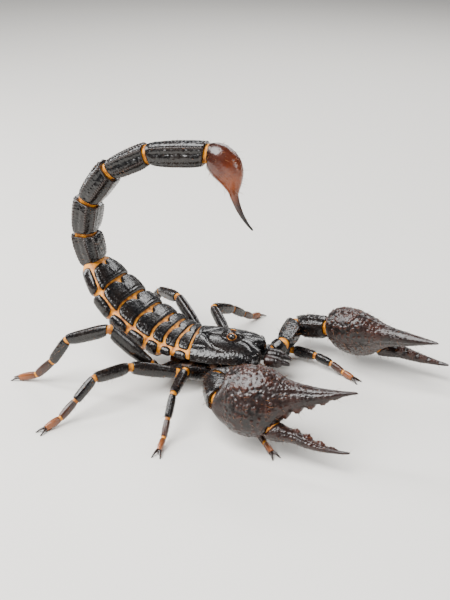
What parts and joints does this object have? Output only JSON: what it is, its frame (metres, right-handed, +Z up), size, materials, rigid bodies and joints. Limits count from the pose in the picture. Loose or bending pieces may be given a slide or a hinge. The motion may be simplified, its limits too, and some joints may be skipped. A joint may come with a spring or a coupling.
{
  "type": "scorpion",
  "caption": "Large black forest scorpion standing on guard, claws forward and tail arched over its back, as a still life-size figure.",
  "frame": {"origin": "on the floor, below the middle of the bounding box", "axes": "+X the way the head points, +Y its left, +Z up"},
  "size_m": [0.1378, 0.1044, 0.0773],
  "materials": {
    "black_shell": "polished black shell",
    "brown_shell": "very dark brown shell, finely grained",
    "amber_shell": "amber shell, slightly translucent in life",
    "eye_glass": "wet black eye"
  },
  "bodies": {
    "root": {"arm_left_femur": "black_shell", "arm_left_patella": "black_shell", "arm_left_trochanter": "black_shell", "arm_right_femur": "black_shell", "arm_right_patella": "black_shell", "arm_right_trochanter": "black_shell", "carapace": "black_shell", "chelicera_left": "brown_shell", "chelicera_right": "brown_shell", "claw_left_finger": "brown_shell", "claw_left_hand": "brown_shell", "claw_right_finger": "brown_shell", "claw_right_hand": "brown_shell", "eye_left": "eye_glass", "eye_right": "eye_glass", "leg_left_1_foot": "amber_shell", "leg_left_1_shin": "black_shell", "leg_left_1_thigh": "black_shell", "leg_left_2_foot": "amber_shell", "leg_left_2_shin": "black_shell", "leg_left_2_thigh": "black_shell", "leg_left_3_foot": "amber_shell", "leg_left_3_shin": "black_shell", "leg_left_3_thigh": "black_shell", "leg_left_4_foot": "amber_shell", "leg_left_4_shin": "black_shell", "leg_left_4_thigh": "black_shell", "leg_right_1_foot": "amber_shell", "leg_right_1_shin": "black_shell", "leg_right_1_thigh": "black_shell", "leg_right_2_foot": "amber_shell", "leg_right_2_shin": "black_shell", "leg_right_2_thigh": "black_shell", "leg_right_3_foot": "amber_shell", "leg_right_3_shin": "black_shell", "leg_right_3_thigh": "black_shell", "leg_right_4_foot": "amber_shell", "leg_right_4_shin": "black_shell", "leg_right_4_thigh": "black_shell", "pecten_left": "brown_shell", "pecten_right": "brown_shell", "prosoma_base": "brown_shell", "sting": "brown_shell", "sting_bulb": "amber_shell", "tail_1": "black_shell", "tail_2": "black_shell", "tail_3": "black_shell", "tail_4": "black_shell", "tail_5": "black_shell", "trunk_1": "black_shell", "trunk_2": "black_shell", "trunk_3": "black_shell", "trunk_4": "black_shell", "trunk_5": "black_shell", "trunk_6": "black_shell", "trunk_7": "black_shell"}
  },
  "joints": []
}
